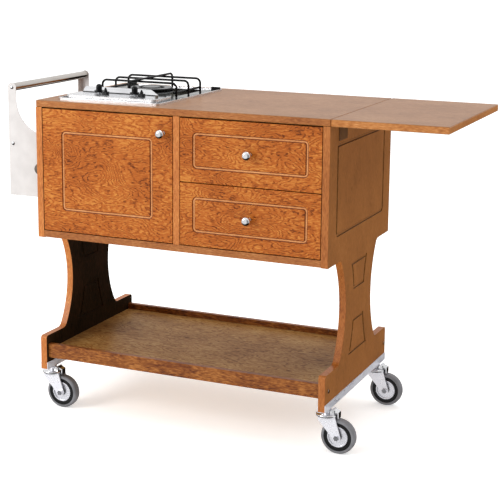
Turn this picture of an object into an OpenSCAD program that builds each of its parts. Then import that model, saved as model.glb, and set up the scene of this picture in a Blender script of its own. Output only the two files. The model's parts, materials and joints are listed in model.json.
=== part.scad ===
// Flambe cart: a wooden serving cart on four casters, with an inset two-ring gas hob, a drop-leaf
// flap on the right, a door, two drawers, a lower shelf and a sheet-metal bottle rack on the left.
// Lengths are in millimetres. The modules draw in cabinet coordinates: x from the left side
// panel's outer face, y from the plane of the door and drawer fronts, z from the floor.

/* [Cabinet] */
// Width over the two side panels
cab_w = 820; // [760:10:900]
// Depth from the fronts to the rear edge
cab_d = 480; // [460:10:540]
// Height of the worktop above the floor
top_z = 850; // [830:5:890]
// Height of the cabinet box, worktop included
box_h = 367; // [350:1:380]
// Thickness of the boards
board_t = 18; // [17:0.5:19]
// Thickness of the worktop and of the flap
top_t = 18; // [16:1:20]
// Thickness of the rear panel
back_t = 6; // [4:1:8]
// Setback of the rear panel from the rear edge
back_in = 4; // [2:1:10]
// Rounding of the worktop's long edges
edge_r = 3; // [1:0.5:4]
// Setback of the cabinet floor's underside from the panels' lower edge
floor_in = 2; // [0:0.5:5]

/* [Legs] */
// Height of the feet from their underside to their shoulders
foot_h = 95; // [85:1:100]
// Width of the leg at its waist
waist_w = 198; // [170:2:220]
// Radius of the hollow on each side of the leg
waist_r = 237; // [225:1:260]
// Fillet where the hollow meets the foot and the cabinet
fillet_r = 20; // [10:1:25]
// Rounding of the foot's shoulders
foot_r = 8; // [3:1:12]
// Rounding of the side panel's lower corners
panel_r = 4; // [1:1:8]
// Sheet thickness of the channel under each foot
channel_t = 1.5; // [1:0.1:2]
// Height of the channel's sides
channel_h = 20; // [14:1:24]

/* [Routed frames] */
// Width of the routed grooves
groove_w = 8; // [5:1:10]
// Depth of the routed grooves
groove_deep = 2.5; // [1:0.5:3]
// Corner radius of the routed frames
groove_r = 12; // [9:1:16]
// Margin of the side panels' frame at the front and the rear
side_margin = 55; // [40:1:80]
// Height of the side panels' frame from the box's underside, and its drop from the worktop
side_rise = 67; // [50:1:80]
// Margin of the door's frame
door_margin = 56; // [45:1:70]
// Margin of the drawers' frames
drawer_margin = 34; // [28:1:42]
// Margin of the leg frames from the leg's hollows
leg_margin = 60; // [50:1:66]
// Drop of the upper leg frame's top below the box
leg_frame_drop = 23; // [15:1:40]
// Height of the upper leg frame
leg_frame_upper = 75; // [60:1:80]
// Rise of the lower leg frame's bottom above the foot's shoulders
leg_frame_rise = 6; // [2:1:20]
// Height of the lower leg frame
leg_frame_lower = 91; // [70:1:95]

/* [Door and drawers] */
// Gap on each side of the door and of the drawers
reveal = 2; // [1:0.5:3]
// Gap under the worktop
top_reveal = 3; // [2:0.5:4]
// Gap above the cabinet floor and between the drawers
floor_reveal = 2.5; // [1.5:0.5:3.5]
// Diameter of the knobs
knob_d = 24; // [20:1:28]
// Projection of the knobs
knob_out = 26; // [22:1:30]
// Thickness of the knobs' heads
knob_head = 16; // [12:1:18]
// Diameter of the knobs' necks
knob_neck = 11; // [8:1:14]
// Diameter of the knobs' screws
knob_stud = 5; // [4:0.5:6]
// Door knob's centre from the door's free edge
door_knob_in = 26; // [20:1:40]
// Door knob's centre from the door's upper edge
door_knob_drop = 43; // [30:1:50]
// Diameter of the hinge cups
cup_d = 35; // [30:1:36]
// Depth of the hinge cups in the door
cup_deep = 11; // [9:0.5:13]
// Hinge cups' centres from the door's hinged edge
cup_in = 22; // [20:0.5:26]
// Hinge cups' centres from the door's upper and lower edges
cup_end = 80; // [60:5:100]
// Height of the drawer boxes
drawer_h = 120; // [100:5:125]
// Length of the drawer boxes behind their fronts
drawer_l = 400; // [360:10:420]
// Thickness of the drawer boxes' sides
drawer_t = 12; // [10:1:14]
// Thickness of the drawer boxes' bottoms
drawer_floor_t = 5; // [4:0.5:8]
// Rise of the drawer boxes above their fronts' lower edges
drawer_rise = 15; // [10:1:20]
// Gap between a drawer box and the cabinet on each side
drawer_gap = 4; // [3:0.5:5]
// Reach of the runner strips from the cabinet's walls
runner_w = 8; // [7:0.5:9]
// Height of the runner strips
runner_h = 14; // [10:1:18]

/* [Shelf] */
// Height of the shelf rails' underside above the feet
rail_rise = 33; // [25:1:40]
// Height of the shelf rails
rail_h = 38; // [32:1:44]
// Setback of the shelf rails from the front and the rear
rail_in = 9.5; // [6:0.5:14]
// Drop of the shelf board's top below the rails' tops
shelf_drop = 16; // [10:1:18]
// Thickness of the shelf board
shelf_t = 12; // [9:1:14]
// Depth of the shelf board's seat in each rail
shelf_seat = 5; // [3:1:8]
// Diameter of the rail bolts
bolt_d = 6; // [5:0.5:8]
// Diameter of the rail bolts' heads
bolt_head_d = 10; // [9:0.5:13]
// Reach of the rail bolts into the rails
bolt_in = 40; // [25:5:60]

/* [Flap] */
// Length of the flap
flap_l = 290; // [250:5:340]
// Joint between the worktop and the flap
flap_joint = 0.8; // [0.6:0.1:1.5]
// Diameter of the hinge knuckles
knuckle_d = 9; // [8:0.5:9]
// Diameter of the hinge pins
hinge_pin_d = 5; // [3:0.5:5]
// Width of each flap hinge
hinge_w = 60; // [50:2:80]
// Centre of each flap hinge from the front and the rear
hinge_in = 90; // [60:5:130]
// Length of the hinge leaf under the flap
leaf_l = 40; // [30:2:60]
// Height of the hinge leaf on the side panel
leaf_h = 37; // [25:1:50]

/* [Casters] */
// Height of the casters from the floor to the feet
caster_h = 115; // [113:1:125]
// Wheel diameter
wheel_d = 90; // [84:1:91]
// Tyre width
tyre_w = 24; // [20:1:27]
// Tyre thickness
tyre_t = 8; // [6:0.5:10]
// Offset of the axle behind the swivel axis
trail = 32; // [28:1:34]
// Swivel axis from the front and the rear
caster_in = 45; // [40:1:70]
// Diameter of the swivel head
head_d = 58; // [50:1:58]
// Sheet thickness of the forks
fork_t = 2.5; // [2:0.5:3]
// Space between the fork's legs
fork_gap = 30; // [29:0.5:33]
// Axle bolt diameter
axle_d = 8; // [6:1:10]
// Stem diameter
stem_d = 10; // [8:1:11]
// Reach of the stem into the foot
stem_in = 50; // [30:5:70]
// Diameter of the wheel's side discs
disc_d = 55; // [48:1:58]
// Diameter of the brake lever's barrel
brake_d = 11; // [10:0.5:11]
// Gap between the brake's shoe and the tyre
shoe_gap = 2.5; // [2.2:0.1:3]

/* [Side rack] */
// Reach of the rack from the side panel
rack_reach = 117; // [105:1:130]
// Distance of the rack's plates from the front and the rear
rack_in = 48; // [44:1:80]
// Width of the arms that carry the handle
arm_w = 25; // [25:1:28]
// Height of the handle's axis above the worktop
handle_rise = 22.8; // [18:0.1:40]
// Drop of the cut-out's centre below the worktop
cut_drop = 8; // [4:1:14]
// Drop of the rack's lower edge below the worktop
rack_drop = 270; // [240:5:300]
// Drop of the bottle rail's axis below the worktop
rail_drop = 128.5; // [120:0.5:160]
// Diameter of the handle and of the bottle rail
tube_d = 21; // [14:1:21]
// Sheet thickness of the rack
sheet_t = 1.5; // [1:0.1:2]
// Width of the plates' bent flanges
flange_w = 22; // [16:1:30]
// Height of the rack floor's outer lip
lip_h = 28; // [15:1:40]
// Diameter of the side buffer
buffer_d = 32; // [24:1:32]
// Projection of the side buffer
buffer_out = 17; // [17:1:24]

/* [Hob] */
// Width of the hob
hob_w = 302; // [290:2:320]
// Depth of the hob
hob_d = 388; // [372:1:394]
// Hob from the cabinet's left face
hob_x = 42; // [38:1:50]
// Hob from the front
hob_y = 38; // [32:1:50]
// Height of the hob's rolled edge above the worktop
hob_edge_h = 5; // [3:0.5:6]
// Height of the hob's flat sheet above the worktop
hob_sheet = 2; // [1.5:0.1:2.2]
// Sheet thickness of the control panel, the drip pan and the skirt
hob_t = 1.5; // [1:0.1:1.5]
// Height of the control panel above the flat sheet
panel_h = 10; // [8:1:14]
// Depth of the control panel, front to rear
panel_d = 94; // [88:1:96]
// Height of the ridge behind the taps above the control panel
ridge_h = 14; // [8:1:16]
// Left tap from the hob's left edge
tap_in = 82; // [72:1:86]
// Distance between the taps
tap_pitch = 107; // [100:1:112]
// Taps from the hob's front edge
tap_back = 78; // [74:1:79]
// Drip pan from the hob's left and right edges
pan_in = [53, 45];
// Depth of the drip pan below the flat sheet
pan_deep = 12; // [10:1:13]
// Diameter of the burner's base
burner_base_d = 100; // [90:1:106]
// Height of the burner's base
burner_base_h = 13; // [12:0.5:15]
// Outer diameter of the outer burner ring
ring_d = 118; // [110:1:124]
// Inner diameter of the outer burner ring
ring_hole = 70; // [64:1:76]
// Height of the outer burner ring
ring_h = 14; // [12:1:16]
// Diameter of the inner burner cap
cap_d = 52; // [44:1:56]
// Height of the inner burner cap
cap_h = 15; // [12:1:17]
// Number of gas slots round the outer ring
slots = 36; // [24:4:48]
// Diameter of the pan support's wire
wire_d = 6; // [5:0.5:7]
// Spacing of the pan support's hoops
hoop_step = 73; // [64:1:76]
// Width of the pan support's hoops
hoop_w = 230; // [224:1:236]
// Height of the pan support's hoops above the flat sheet
hoop_h = 40; // [36:1:46]
// Diameter of the tap knobs' skirts
tap_skirt_d = 25; // [22:1:26]
// Diameter of the tap knobs' grips
tap_grip_d = 16; // [14:1:20]
// Height of the tap knobs
tap_knob_h = 22; // [18:1:24]
// Push travel of the taps and of the igniter buttons
push = 3; // [2:0.5:3.5]
// Diameter of the gas inlet's hose tail
hose_tail_d = 10; // [8:0.5:12]
// Length of the gas inlet's hose tail
hose_tail_l = 20; // [15:1:30]

/* [Hidden] */
$fn = 48;

// Clearances: between a turning or sliding pin and its bore, beside a moving face, past a cut
fit = 0.05;
gap = 0.3;
past = 1;

// Colours
front_wood = "#c8692c";
side_wood = "#8a5a2c";
top_wood = "#cfa08a";
inner_wood = "#7a4a2a";
plywood = "#c9a878";
steel = "#c8ccd0";
zinc = "#b9bdc1";
dark = "#202020";

// Heights of the cabinet
top_under = top_z - top_t;
box_z = top_z - box_h;
floor_z = box_z + floor_in;
floor_top = floor_z + board_t;
foot_z = caster_h;
foot_base = foot_z + channel_t;
shoulder_z = foot_z + foot_h;
back_y = cab_d - back_in - back_t;

// Leg hollows: circle centres, then the fillet circle, which cuts the hollow and the shoulder by a
// hair, and a point in the wood beyond the place where it meets the hollow
waist_y = (cab_d - waist_w) / 2 - waist_r;
waist_z = (box_z + shoulder_z) / 2;
hair = 0.05;
fillet_in = 3;
fillet_reach = waist_r + hair - fillet_r;
fillet_dz = waist_z - shoulder_z - fillet_r + hair;
fillet_dy = sqrt(pow(fillet_reach, 2) - pow(fillet_dz, 2));
fillet_at = [waist_y + fillet_dy, waist_z - fillet_dz];
fillet_end = [waist_y, waist_z] + [fillet_dy, -fillet_dz] * (waist_r + fillet_in) / fillet_reach;

// Shelf
rail_z = foot_z + rail_rise;
rail_top = rail_z + rail_h;
shelf_top = rail_top - shelf_drop;
bolt_at = [rail_in + board_t / 2, rail_z + rail_h / 2];
bolt_head_h = 4;

// Door and drawers
divider_x = (cab_w - board_t) / 2;
front_z = [floor_top + floor_reveal, top_under - top_reveal];
door_x = [board_t + reveal, divider_x - reveal];
drawer_x = [divider_x + board_t + reveal, cab_w - board_t - reveal];
drawer_front_h = (front_z[1] - front_z[0] - floor_reveal) / 2;
lower_z = [front_z[0], front_z[0] + drawer_front_h];
upper_z = [front_z[1] - drawer_front_h, front_z[1]];
door_knob_at = [door_x[1] - door_knob_in, front_z[1] - door_knob_drop];
drawer_knob_x = (drawer_x[0] + drawer_x[1]) / 2;
box_x = [divider_x + board_t + drawer_gap, cab_w - board_t - drawer_gap];
box_y = [board_t, board_t + drawer_l];
runner_y = [board_t + 4, board_t + 4 + drawer_l];
runner_slack = 1;
drawer_floor_rise = 8;
foot_flange = [7, 2];

// Concealed hinges: plate on the side panel, arm, and the link that turns with the door
hinge_z = [front_z[0] + cup_end, front_z[1] - cup_end];
cup_x = door_x[0] + cup_in;
cup_flange = [36, 1.5, 46];
hinge_plate = [2.5, 40, 40];
hinge_arm_x = door_x[0] + 4;
hinge_arm_z = 7;
link = [10, 12.5, 14];
catch_block = [14, 20, 30];
catch_z = 660;

// Flap and its hinges
flap_x = [cab_w + flap_joint, cab_w + flap_l];
leaf_t = 2;
hinge_at = [cab_w + knuckle_d / 2 + 0.5, top_under - knuckle_d / 2 - 0.5];
knuckle_half = hinge_w / 6;
leaf_start = knuckle_d / 2 + 1;

// Casters
wheel_r = wheel_d / 2;
axle_at = [trail, wheel_r];
crown_z = wheel_d + 5;
collar_h = 12;
collar_d = 20;
head_top = caster_h - collar_h - gap;
crown_top = crown_z + fork_t;
stem_head_d = 18;
stem_head_h = 4;
stem_z = crown_z - gap - stem_head_h;
fork_front = -19;
fork_rear = 27;
fork_straight = 8;
fork_end_r = 10;
fork_half = fork_gap / 2;
head_roll = 3.5;
brake_at = [collar_d / 2 + brake_d / 2 + 1.5, head_top + brake_d / 2 + 0.5];
brake_half = 10.5;
brake_pin_d = 5;
ear_r = brake_d / 2;
shoe_x = head_d / 2 + 2;
shoe_half = 9;
shoe_bend_z = brake_at.y;
shoe_z = axle_at.y + sqrt(pow(wheel_r + shoe_gap, 2) - pow(shoe_x - trail, 2));
nut_r = axle_d * 0.92;
nut_h = 5;
rim_r = wheel_r - tyre_t;
rim_half = tyre_w / 2 - 2;
boss_r = axle_d / 2 + 6;
disc_t = 1.5;
disc_rim = 4;

// Side rack
cut_r = rack_reach - arm_w;
cut_z = top_z - cut_drop;
handle_at = [arm_w / 2 - rack_reach, top_z + handle_rise];
bottle_rail_at = [handle_at.x, top_z - rail_drop];
rack_z = top_z - rack_drop;
rack_floor_z = rack_z + 2;
tube_y = [rack_in + sheet_t, cab_d - rack_in - sheet_t];
tube_wall = 1.5;
plug_l = 18;
rack_screw_d = 5;
rack_screw_l = 15;
rack_screw_head = 11;
buffer_y = buffer_d / 2 + 2;
buffer_drop = 186;
buffer_z = top_z - buffer_drop;

// Hob
sheet_z = top_z + hob_sheet;
panel_z = sheet_z + panel_h;
pan_z = sheet_z - pan_deep;
hob_r = 12;
hob_inset = 14;
cut_clear = 2;
panel_x = [hob_x + 16, hob_x + hob_w - 16];
panel_y = [hob_y + hob_inset, hob_y + hob_inset + panel_d];
control_r = 15;
pan_x = [hob_x + pan_in[0], hob_x + hob_w - pan_in[1]];
pan_y = [panel_y[1] + 12, hob_y + hob_d - 32];
pan_r = 25;
skirt_x = [hob_x + hob_inset, hob_x + hob_w - hob_inset];
skirt_y = [hob_y + hob_inset, hob_y + hob_d - hob_inset];
skirt_z = top_under;
wall = [hob_t, hob_t];
burner_at = [(pan_x[0] + pan_x[1]) / 2, (pan_y[0] + pan_y[1]) / 2];
base_top = pan_z + burner_base_h;
boss_d = 40;
boss_h = 25;
slot = [5, 3, 4];
wire_r = wire_d / 2;
hoop_bend = 13;
hoop_foot_z = sheet_z + gap;
hoop_axis_z = sheet_z + hoop_h - wire_r;
weld = 1;
spine_axis_z = hoop_axis_z + wire_d - weld;
spine_y = [panel_y[1] + 1 + wire_r, pan_y[1] + 4 + wire_r];
side_bar_z = sheet_z + 12;
tap_x = [hob_x + tap_in, hob_x + tap_in + tap_pitch];
tap_y = hob_y + tap_back;
fold_y = tap_y + tap_skirt_d / 2 + 2;
ridge_ends = [8, 36];
ridge_seam = 0.15;
ridge_top = 4;
ridge_r = 12;
igniter_x = [tap_x[0] + 30, tap_x[1] + 30];
igniter_y = tap_y - 18;
spindle_d = 8;
tap_block = [22, 22, 34];
tap_top = sheet_z - 4;
manifold = 14;
tap_end = 25;
manifold_z = tap_top - tap_block.z - manifold;
spindle_in = 12;
knob_base = panel_z + push + gap;
knob_roof = 5;
spindle_top = knob_base + tap_knob_h - knob_roof - gap;
skirt_h = 5;
igniter_base = [18, 13, 8];
igniter_d = 9;
igniter_stem = igniter_base.z - push - 0.2;
igniter_tip = 10;
feed_d = 8;
feed_z = tap_top - tap_block.z + 8;
feed_bend = 16;
jet_block = [20, 14, 16];
stud_buffer = [8, 6];
rest_bar = [26, 7, 8];

function touch(p, c, r, side) =
    let (d = p - c, a = atan2(d.y, d.x) + side * acos(r / norm(d))) c + r * [cos(a), sin(a)];

// Helpers

module box(a, b) {
    translate(a) cube(b - a);
}

module rounded(a, b, r) {
    translate([a.x + r, a.y]) square([b.x - a.x - 2 * r, b.y - a.y]);
    translate([a.x, a.y + r]) square([b.x - a.x, b.y - a.y - 2 * r]);
    for (x = [a.x + r, b.x - r], y = [a.y + r, b.y - r]) translate([x, y]) circle(r);
}

// Extrudes an outline drawn in (x, z) from y0 to y1
module upright(y0, y1) {
    translate([0, y1, 0]) rotate([90, 0, 0]) linear_extrude(y1 - y0) children();
}

// Extrudes an outline drawn in (y, z) from x0 to x1
module sideways(x0, x1) {
    translate([x0, 0, 0]) rotate([90, 0, 90]) linear_extrude(x1 - x0) children();
}

// Extrudes an outline drawn in (x, y) from z0 to z1
module flat(z0, z1) {
    translate([0, 0, z0]) linear_extrude(z1 - z0) children();
}

// Cylinder along y through the point (x, z)
module bar_y(at, y0, y1, r) {
    translate([at.x, y1, at.y]) rotate([90, 0, 0]) cylinder(r = r, h = y1 - y0);
}

// Cylinder along x through the point (y, z)
module bar_x(at, x0, x1, r) {
    translate([x0, at.x, at.y]) rotate([0, 90, 0]) cylinder(r = r, h = x1 - x0);
}

module mirror_y() {
    translate([0, cab_d, 0]) mirror([0, 1, 0]) children();
}

module both_y() {
    children();
    mirror_y() children();
}

module both_x() {
    children();
    translate([cab_w, 0, 0]) mirror([1, 0, 0]) children();
}

// Board with all its long edges rounded
module slab(a, b) {
    intersection() {
        flat(a.z, b.z) rounded([a.x, a.y], [b.x, b.y], edge_r);
        upright(a.y, b.y) rounded([a.x, a.z], [b.x, b.z], edge_r);
        sideways(a.x, b.x) rounded([a.y, a.z], [b.y, b.z], edge_r);
    }
}

// Outline of a routed rectangular groove
module frame_groove(a, b) {
    inset = [groove_w, groove_w];
    difference() {
        rounded(a, b, groove_r);
        rounded(a + inset, b - inset, groove_r - groove_w);
    }
}

// Side panels: cabinet side, leg and foot from one board

module leg_fillet() {
    difference() {
        polygon([[fillet_at.x, shoulder_z - past], [fillet_end.x, shoulder_z - past], fillet_end, fillet_at]);
        translate(fillet_at) circle(fillet_r);
    }
}

module panel_outline() {
    rounded([0, box_z], [cab_d, box_z + 3 * panel_r], panel_r);
    translate([0, box_z + panel_r]) square([cab_d, box_h - top_t - panel_r]);
    rounded([0, shoulder_z - 3 * foot_r], [cab_d, shoulder_z], foot_r);
    translate([0, foot_base]) square([cab_d, foot_h - channel_t - foot_r]);
    difference() {
        translate([0, shoulder_z]) square([cab_d, box_z - shoulder_z]);
        for (y = [waist_y, cab_d - waist_y]) translate([y, waist_z]) circle(waist_r);
    }
    for (y = [0, 1], z = [0, 1])
        translate([y * cab_d, z * 2 * waist_z]) mirror([y, 0]) mirror([0, z]) leg_fillet();
}

// The leg's outline between two heights, inset from the hollows
module leg_band(z0, z1, inset) {
    difference() {
        translate([cab_d / 2 - waist_w, z0]) square([2 * waist_w, z1 - z0]);
        for (y = [waist_y, cab_d - waist_y]) translate([y, waist_z]) circle(waist_r + inset);
    }
}

module leg_groove(z0, z1) {
    difference() {
        leg_band(z0, z1, leg_margin);
        leg_band(z0 + groove_w, z1 - groove_w, leg_margin + groove_w);
    }
}

module leg_grooves() {
    upper = box_z - leg_frame_drop;
    lower = shoulder_z + leg_frame_rise;
    leg_groove(upper - leg_frame_upper, upper);
    leg_groove(lower, lower + leg_frame_lower);
}

module side_panel() {
    difference() {
        sideways(0, board_t) panel_outline();
        sideways(-past, groove_deep) {
            frame_groove([side_margin, box_z + side_rise], [cab_d - side_margin, top_z - side_rise]);
            leg_grooves();
        }
        sideways(board_t - groove_deep, board_t + past) leg_grooves();
        both_y() {
            bar_x(bolt_at, -past, board_t + past, bolt_d / 2 + fit);
            translate([board_t / 2, caster_in, foot_base - past])
                cylinder(r = stem_d / 2 + fit, h = stem_in - channel_t + past);
        }
    }
}

module left_side_panel() { color(side_wood) side_panel(); }

module right_side_panel() {
    color(side_wood) translate([cab_w, 0, 0]) mirror([1, 0, 0]) side_panel();
}

// Cabinet boards

module worktop() {
    clear = [cut_clear, cut_clear];
    color(top_wood) difference() {
        slab([0, 0, top_under], [cab_w, cab_d, top_z]);
        flat(top_under - past, top_z + past)
            rounded([skirt_x[0], skirt_y[0]] - clear, [skirt_x[1], skirt_y[1]] + clear, hob_r);
    }
}

module cabinet_floor() {
    color(front_wood) box([board_t, 0, floor_z], [cab_w - board_t, back_y, floor_top]);
}

module centre_divider() {
    color(front_wood) box([divider_x, 0, floor_top], [divider_x + board_t, back_y, top_under]);
}

module back_panel() {
    color(inner_wood) box([board_t, back_y, floor_z], [cab_w - board_t, back_y + back_t, top_under]);
}

module runner_pair(z) {
    mid = z + drawer_rise + drawer_h / 2;
    for (x = [divider_x + board_t, cab_w - board_t - runner_w])
        box([x, runner_y[0], mid - runner_h / 2], [x + runner_w, runner_y[1], mid + runner_h / 2]);
}

module drawer_runners() {
    color(plywood) {
        runner_pair(lower_z[0]);
        runner_pair(upper_z[0]);
    }
}

// Shelf, foot channels and their fasteners

module shelf_board() {
    y = rail_in + board_t - shelf_seat;
    color(inner_wood) box([board_t, y, shelf_top - shelf_t], [cab_w - board_t, cab_d - y, shelf_top]);
}

module shelf_rails() {
    y = rail_in + board_t - shelf_seat;
    color(inner_wood) both_y() difference() {
        box([board_t, rail_in, rail_z], [cab_w - board_t, rail_in + board_t, rail_top]);
        box([board_t - past, y, shelf_top - shelf_t], [cab_w - board_t + past, y + cab_d, rail_top + past]);
        both_x() bar_x(bolt_at, board_t - past, board_t + bolt_in + past, bolt_d / 2 + fit);
    }
}

module foot_channels() {
    color(steel) both_x() difference() {
        box([-channel_t, 0, foot_z], [board_t + channel_t, cab_d, foot_z + channel_h]);
        box([0, -past, foot_base], [board_t, cab_d + past, foot_z + channel_h + past]);
        both_y() translate([board_t / 2, caster_in, foot_z - past])
            cylinder(r = stem_d / 2 + fit, h = channel_t + 2 * past);
    }
}

// Dome-headed screw along +y, its head's seat at y = 0
module rack_screw() {
    cap_r = (pow(rack_screw_head / 2, 2) + 9) / 6;
    rotate([-90, 0, 0]) cylinder(r = rack_screw_d / 2, h = rack_screw_l);
    intersection() {
        translate([0, cap_r - 3, 0]) sphere(cap_r);
        translate([0, -rack_screw_head / 2, 0]) cube([20, rack_screw_head, 20], center = true);
    }
}

module screws_and_bolts() {
    color(zinc) {
        both_x() both_y() {
            bar_x(bolt_at, 0, board_t + bolt_in, bolt_d / 2);
            bar_x(bolt_at, -bolt_head_h, 0, bolt_head_d / 2);
        }
        for (at = [handle_at, bottle_rail_at])
            both_y() translate([at.x, rack_in, at.y]) rack_screw();
    }
}

// Side rack

module rack_outline() {
    difference() {
        translate([-rack_reach, rack_z]) square([rack_reach, cut_z - rack_z]);
        translate([0, cut_z]) circle(cut_r);
    }
    translate([-rack_reach, cut_z - past]) square([arm_w, handle_at.y - cut_z + past]);
    translate(handle_at) circle(arm_w / 2);
}

module rack_plate() {
    difference() {
        upright(rack_in, rack_in + sheet_t) rack_outline();
        for (at = [handle_at, bottle_rail_at])
            bar_y(at, rack_in - past, tube_y[0] + past, rack_screw_d / 2 + fit);
    }
    box([-rack_reach, rack_in, rack_z], [sheet_t - rack_reach, rack_in + flange_w, handle_at.y]);
    box([-sheet_t, rack_in, rack_z], [0, rack_in + flange_w, cut_z - cut_r - arm_w / 3]);
}

module rack_front_plate() { color(steel) rack_plate(); }

module rack_rear_plate() { color(steel) mirror_y() rack_plate(); }

module rack_floor() {
    x = sheet_t - rack_reach;
    color(steel) {
        box([x, tube_y[0], rack_floor_z], [-sheet_t, tube_y[1], rack_floor_z + sheet_t]);
        box([x, tube_y[0], rack_floor_z], [x + sheet_t, tube_y[1], rack_floor_z + lip_h]);
    }
}

// Tube with plugged and drilled ends
module rack_tube(at) {
    difference() {
        bar_y(at, tube_y[0], tube_y[1], tube_d / 2);
        bar_y(at, tube_y[0] + plug_l, tube_y[1] - plug_l, tube_d / 2 - tube_wall);
        bar_y(at, tube_y[0] - past, tube_y[1] + past, rack_screw_d / 2 + fit);
    }
}

module bottle_rail() { color(steel) rack_tube(bottle_rail_at); }

module handle_tube() { color(steel) rack_tube(handle_at); }

module rubber_buffers() {
    r = buffer_d / 2;
    color(dark) {
        translate([0, buffer_y, buffer_z]) rotate([0, -90, 0]) {
            cylinder(r = r, h = buffer_out - r);
            intersection() {
                translate([0, 0, buffer_out - r]) sphere(r);
                cylinder(r = r, h = buffer_out);
            }
        }
        translate([hob_x + 8, tap_y - 6, sheet_z]) cylinder(d = stud_buffer.x, h = stud_buffer.y);
        translate([panel_x[1] - 22, tap_y - 20, panel_z]) cylinder(d = stud_buffer.x, h = stud_buffer.y);
        for (x = [hob_x + 6, hob_x + hob_w - 6 - rest_bar.x])
            translate([x, hob_y + hob_d - 6 - rest_bar.y, sheet_z]) cube(rest_bar);
    }
}

// Hob

module hob_skirt() {
    flat(skirt_z, sheet_z - hob_t / 2) difference() {
        rounded([skirt_x[0], skirt_y[0]], [skirt_x[1], skirt_y[1]], hob_r);
        rounded([skirt_x[0], skirt_y[0]] + wall, [skirt_x[1], skirt_y[1]] - wall, hob_r - hob_t);
    }
}

// Ridge of the control panel: it rises from a fold behind the taps. t is the sheet's thickness in the
// hollow under it, and 0 outside. It is cut off at foot
module ridge(t, foot) {
    x = [panel_x[0] + ridge_ends[0] + t, panel_x[1] - ridge_ends[1] - t];
    y = [fold_y + 1.5 * t, panel_y[1] - t];
    top = panel_z + ridge_h - t;
    crest = y[1] - ridge_top + 1.4 * t;
    base = panel_z - 2 * hob_t;
    intersection() {
        sideways(x[0], x[1])
            polygon([[y[0], base], [y[0], panel_z], [crest, top], [y[1], top], [y[1], base]]);
        flat(foot, top) rounded([x[0], y[0] - 2 * ridge_r], [x[1], y[1]], ridge_r - t);
    }
}

module hob_tray() {
    edge = [4, 4];
    corner = [hob_x + hob_w, hob_y + hob_d];
    color(steel) difference() {
        union() {
            flat(top_z, sheet_z) rounded([hob_x, hob_y], corner, hob_r);
            flat(top_z, top_z + hob_edge_h) difference() {
                rounded([hob_x, hob_y], corner, hob_r);
                rounded([hob_x, hob_y] + edge, corner - edge, hob_r - edge.x);
            }
            flat(top_z, panel_z) rounded([panel_x[0], panel_y[0]], [panel_x[1], panel_y[1]], control_r);
            flat(pan_z - hob_t, sheet_z)
                rounded([pan_x[0], pan_y[0]] - wall, [pan_x[1], pan_y[1]] + wall, pan_r + hob_t);
            hob_skirt();
        }
        flat(top_z - past, panel_z - hob_t)
            rounded([panel_x[0], panel_y[0]] + wall, [panel_x[1], panel_y[1]] - wall, control_r - hob_t);
        flat(pan_z, panel_z) rounded([pan_x[0], pan_y[0]], [pan_x[1], pan_y[1]], pan_r);
        translate([burner_at.x, burner_at.y, pan_z - hob_t - past])
            cylinder(d = boss_d + 2 * fit, h = hob_t + 2 * past);
        for (x = tap_x) translate([x, tap_y, top_z])
            cylinder(d = spindle_d + 2, h = panel_h + hob_sheet + past);
    }
    // The ridge is a cover of its own on the panel, so that collision leaves the taps free
    color(steel) difference() {
        ridge(0, panel_z + ridge_seam);
        ridge(hob_t, panel_z - past);
    }
}

module burner_base() {
    color(zinc) translate([burner_at.x, burner_at.y, 0]) {
        translate([0, 0, pan_z]) cylinder(d = burner_base_d, h = burner_base_h);
        translate([0, 0, pan_z - boss_h]) cylinder(d = boss_d, h = boss_h + past);
        jet_x = tap_x[1] - burner_at.x;
        jet_z = feed_z - jet_block.z / 2;
        box([0, -boss_d / 2 - jet_block.y, jet_z], [jet_x + jet_block.x / 2, 0, jet_z + jet_block.z]);
    }
}

module burner_outer_ring() {
    color(dark) translate([burner_at.x, burner_at.y, base_top]) difference() {
        rotate_extrude() {
            translate([ring_hole / 2, 0]) square([(ring_d - ring_hole) / 2, ring_h - 3]);
            translate([ring_hole / 2 + 3, 0]) square([(ring_d - ring_hole) / 2 - 6, ring_h]);
            for (x = [ring_hole / 2 + 3, ring_d / 2 - 3]) translate([x, ring_h - 3]) circle(3);
        }
        for (i = [0 : slots - 1]) rotate(i * 360 / slots)
            translate([ring_d / 2 - slot.x, -slot.y / 2, ring_h - slot.z - 4]) cube(slot + [past, 0, 0]);
    }
}

module burner_inner_cap() {
    color(dark) translate([burner_at.x, burner_at.y, base_top]) rotate_extrude() {
        square([cap_d / 2, cap_h - 4]);
        square([cap_d / 2 - 4, cap_h]);
        translate([cap_d / 2 - 4, cap_h - 4]) circle(4);
    }
}

// Wire hoop in the x-z plane: half width w, from the height z0 up to the axis height z1
module hoop(w, z0, z1) {
    for (s = [0, 1]) mirror([s, 0, 0]) {
        translate([w, 0, z0]) cylinder(r = wire_r, h = z1 - hoop_bend - z0);
        translate([w - hoop_bend, 0, z1 - hoop_bend]) rotate([90, 0, 0])
            rotate_extrude(angle = 90) translate([hoop_bend, 0]) circle(wire_r);
    }
    bar_x([0, z1], hoop_bend - w, w - hoop_bend, wire_r);
}

module pan_support() {
    half = hoop_w / 2 - wire_r;
    bar = half - wire_d + weld;
    bar_l = hoop_step + wire_r;
    spine_mid = (spine_y[0] + spine_y[1]) / 2;
    color(dark) {
        for (i = [-1 : 1])
            translate([burner_at.x, burner_at.y + i * hoop_step, 0]) hoop(half, hoop_foot_z, hoop_axis_z);
        for (x = [burner_at.x - bar, burner_at.x + bar])
            bar_y([x, side_bar_z], burner_at.y - bar_l, burner_at.y + bar_l, wire_r);
        translate([burner_at.x, spine_mid, 0]) rotate(90)
            hoop((spine_y[1] - spine_y[0]) / 2, hoop_foot_z, spine_axis_z);
    }
}

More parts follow.
